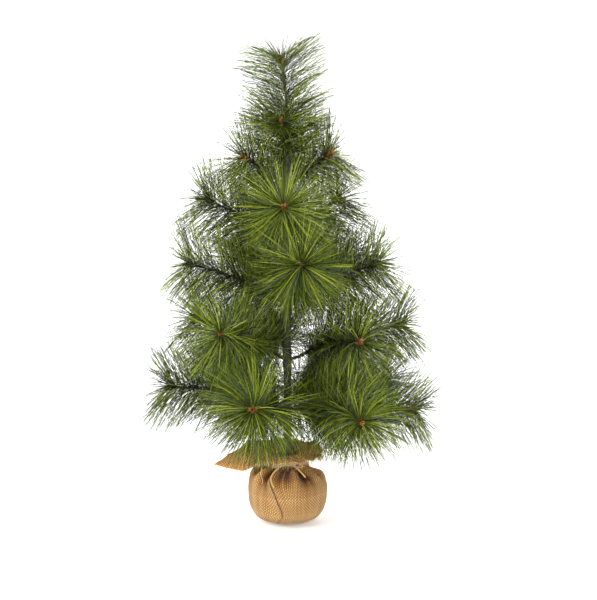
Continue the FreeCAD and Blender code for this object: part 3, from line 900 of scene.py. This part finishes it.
def add_needles(rng, body, line, direction, upright):
    bare = BARE.get(body.split("_")[0], BARE_ABOVE)
    lines, tone = needle_lines(rng, line, bare, upright, LENGTHEN.get(body, 1.0), AT_TIP + FULLER.get(body, 0))
    count = len(lines)
    # Painted light: needles on branches that point to the front get a brighter tint, those that point back a darker
    # one.
    front_light_tint = 0.505 - 0.08 * direction[1]
    tints = np.clip(rng.normal(front_light_tint, 0.03) + tone + rng.normal(0, 0.25, count), 0, 0.92)
    blue = rng.random(count) < 0.16
    tints[blue] = rng.uniform(0.96, 1.0, blue.sum())
    width = rng.normal(HALF_WIDTH, HALF_SPREAD, count) * MM
    facing = rng.normal(size=(count, 3))
    v, f, values = spikes(lines * MM, width, width * 0.55, [0.7, 1.0, 0.95, 0.7], facing, tints)
    place_piece(body + "_foliage", v, f, NEEDLES, body, "needles", [body + "_needles"], values)


def outward(rng, n, b, picks):
    """Directions at random turns round a stem."""
    turn = rng.random(len(picks)) * TAU
    return np.cos(turn)[:, None] * n[picks] + np.sin(turn)[:, None] * b[picks]


def add_bristles(rng, body, wire, frames, upright):
    """Short bristles that stand off the wire."""
    tangents, n, b = frames
    count = len(wire) * (11 if upright else 7)
    pick = rng.integers(2, len(wire), count)
    out = outward(rng, n, b, pick)
    heading = unit(out + tangents[pick] * rng.normal(0.45, 0.3, (count, 1)))
    size = rng.uniform(2.6, 4.8, count)[:, None] * (0.75 if upright else 1.0)
    points = np.stack([wire[pick] + 0.6 * out, wire[pick] + size * heading], axis=1) * MM
    v, f, values = loose_spikes(rng, points, rng.uniform(0.14, 0.24, count) * MM, [1.0])
    place_piece(body + "_bristles", v, f, OLIVE_BRISTLES if upright else BRISTLES, body, "branch_wire", (), values)


def add_bud(rng, body, wire, frames):
    """The tuft of coarse bristles at the tip."""
    tangents, n, b = frames
    count = 210
    back = rng.random(count) ** 1.4 * 10.0
    pick = np.clip((len(wire) - 1 - back).astype(int), 0, len(wire) - 1)
    out = outward(rng, n, b, pick)
    ahead = np.where(back < 3.0, rng.uniform(0.8, 3.0, count), rng.uniform(0.3, 0.9, count))[:, None]
    heading = unit(out + tangents[pick] * ahead)
    size = rng.uniform(4.6, 7.4, count)[:, None] * BUD.get(body, 0.75)
    base = wire[pick] + 0.5 * out
    end = base + size * unit(heading + 0.35 * tangents[pick])
    points = np.stack([base, base + 0.55 * size * heading, end], axis=1) * MM
    v, f, values = loose_spikes(rng, points, rng.uniform(0.26, 0.42, count) * MM, [1.0, 0.8])
    place_piece(body + "_bud", v, f, BRISTLES if body in DARK_BUDS else RUST, body, "needles", (), values)


def add_root_tape(body, root, direction, upright):
    """The tape round the wire's root, a straight sleeve from inside the trunk across the hinge onto the branch."""
    inside = root - direction * (6.0 if upright else 3.6)
    sleeve = resampled([inside, root + direction * 14.0], 1.0)
    r = np.interp(np.linspace(0, 1, len(sleeve)), [0, 0.35, 0.8, 1.0], [2.0, 1.75, 1.5, 1.15])
    r = r + 0.12 * np.sin(np.arange(len(sleeve)) * 1.9)
    taped = place_piece(body + "_root_tape", *tube(sleeve * MM, r * MM, 12)[:2], TAPE, None, "trunk_tape")
    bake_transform(taped)


def dress_stem(rng, body, root, tip, upright):
    """Everything that one branch, or the leader, carries: needles, twisted wire, bristles, bud and taped root."""
    direction = unit(tip - root)
    line = stem_line(rng, body, root, tip)
    add_needles(rng, body, line, direction, upright)
    run = run_along(line)
    wire = at_places(np.arange(6.0 if upright else 9.0, run[-1] + 0.1, 1.0), run, line)
    thick = 1.35 if upright else 1.0
    pair = twisted(wire * MM, 2, 0.55 * thick * MM, 0.62 * thick * MM, 6.5 * MM, 5, 1.35 * MM)
    place_piece(body + "_stem", *pair[:2], OLIVE if upright else WIRE, body, "branch_wire", [body + "_wire"])
    frames = carried_frames(wire)
    add_bristles(rng, body, wire, frames, upright)
    add_bud(rng, body, wire, frames)
    add_root_tape(body, root, direction, upright)


for number, joint in enumerate(frame["joints"]):
    hinge, end = stem_ends(joint)
    dress_stem(np.random.default_rng(100 + number), joint["child"], hinge, end, upright=joint["child"] == "leader")

# ---------------------------------------------------------------- floor and light

# The floor's line: level, then curving up behind the tree.
FLOOR = [(0, -3, 0), (0, 1.2, 0), (0, 2.0, 0.05), (0, 2.6, 0.5), (0, 2.8, 1.4), (0, 2.85, 4)]
# Square lamps aimed at the tree: name, place and size in metres, power in watts.
LAMPS = [("key", (-2.0, -1.3, 1.2), 1.2, 54), ("fill", (0.8, -2.3, 0.8), 1.6, 39),
         ("top", (0.1, 0.2, 2.6), 2.2, 46), ("back", (0.3, 1.9, 1.6), 2.4, 34)]
LAMPS_AIM = Vector((0, 0, 0.3))


def make_floor():
    run = curved(FLOOR, 8)
    vertices = [(x, p[1], p[2]) for p in run for x in (-5.0, 5.0)]
    faces = [[2 * i, 2 * i + 1, 2 * i + 3, 2 * i + 2] for i in range(len(run) - 1)]
    mesh = bpy.data.meshes.new("studio_floor")
    mesh.from_pydata(vertices, [], faces)
    mesh.materials.append(floor_material())
    mesh.shade_smooth()
    floor = bpy.data.objects.new("studio_floor", mesh)
    bpy.context.scene.collection.objects.link(floor)


def make_light():
    for name, place, size, power in LAMPS:
        data = bpy.data.lights.new(name, "AREA")
        data.shape = "SQUARE"
        data.size = size
        data.energy = power
        light = bpy.data.objects.new(name, data)
        light.location = place
        light.rotation_euler = (Vector(place) - LAMPS_AIM).to_track_quat("Z", "Y").to_euler()
        bpy.context.scene.collection.objects.link(light)
    world = bpy.data.worlds.new("studio")
    world.use_nodes = True
    background = world.node_tree.nodes["Background"]
    background.inputs["Color"].default_value = (1, 1, 1, 1)
    background.inputs["Strength"].default_value = 0.75
    bpy.context.scene.world = world
    bpy.context.scene.view_settings.view_transform = "Standard"


make_floor()
make_light()
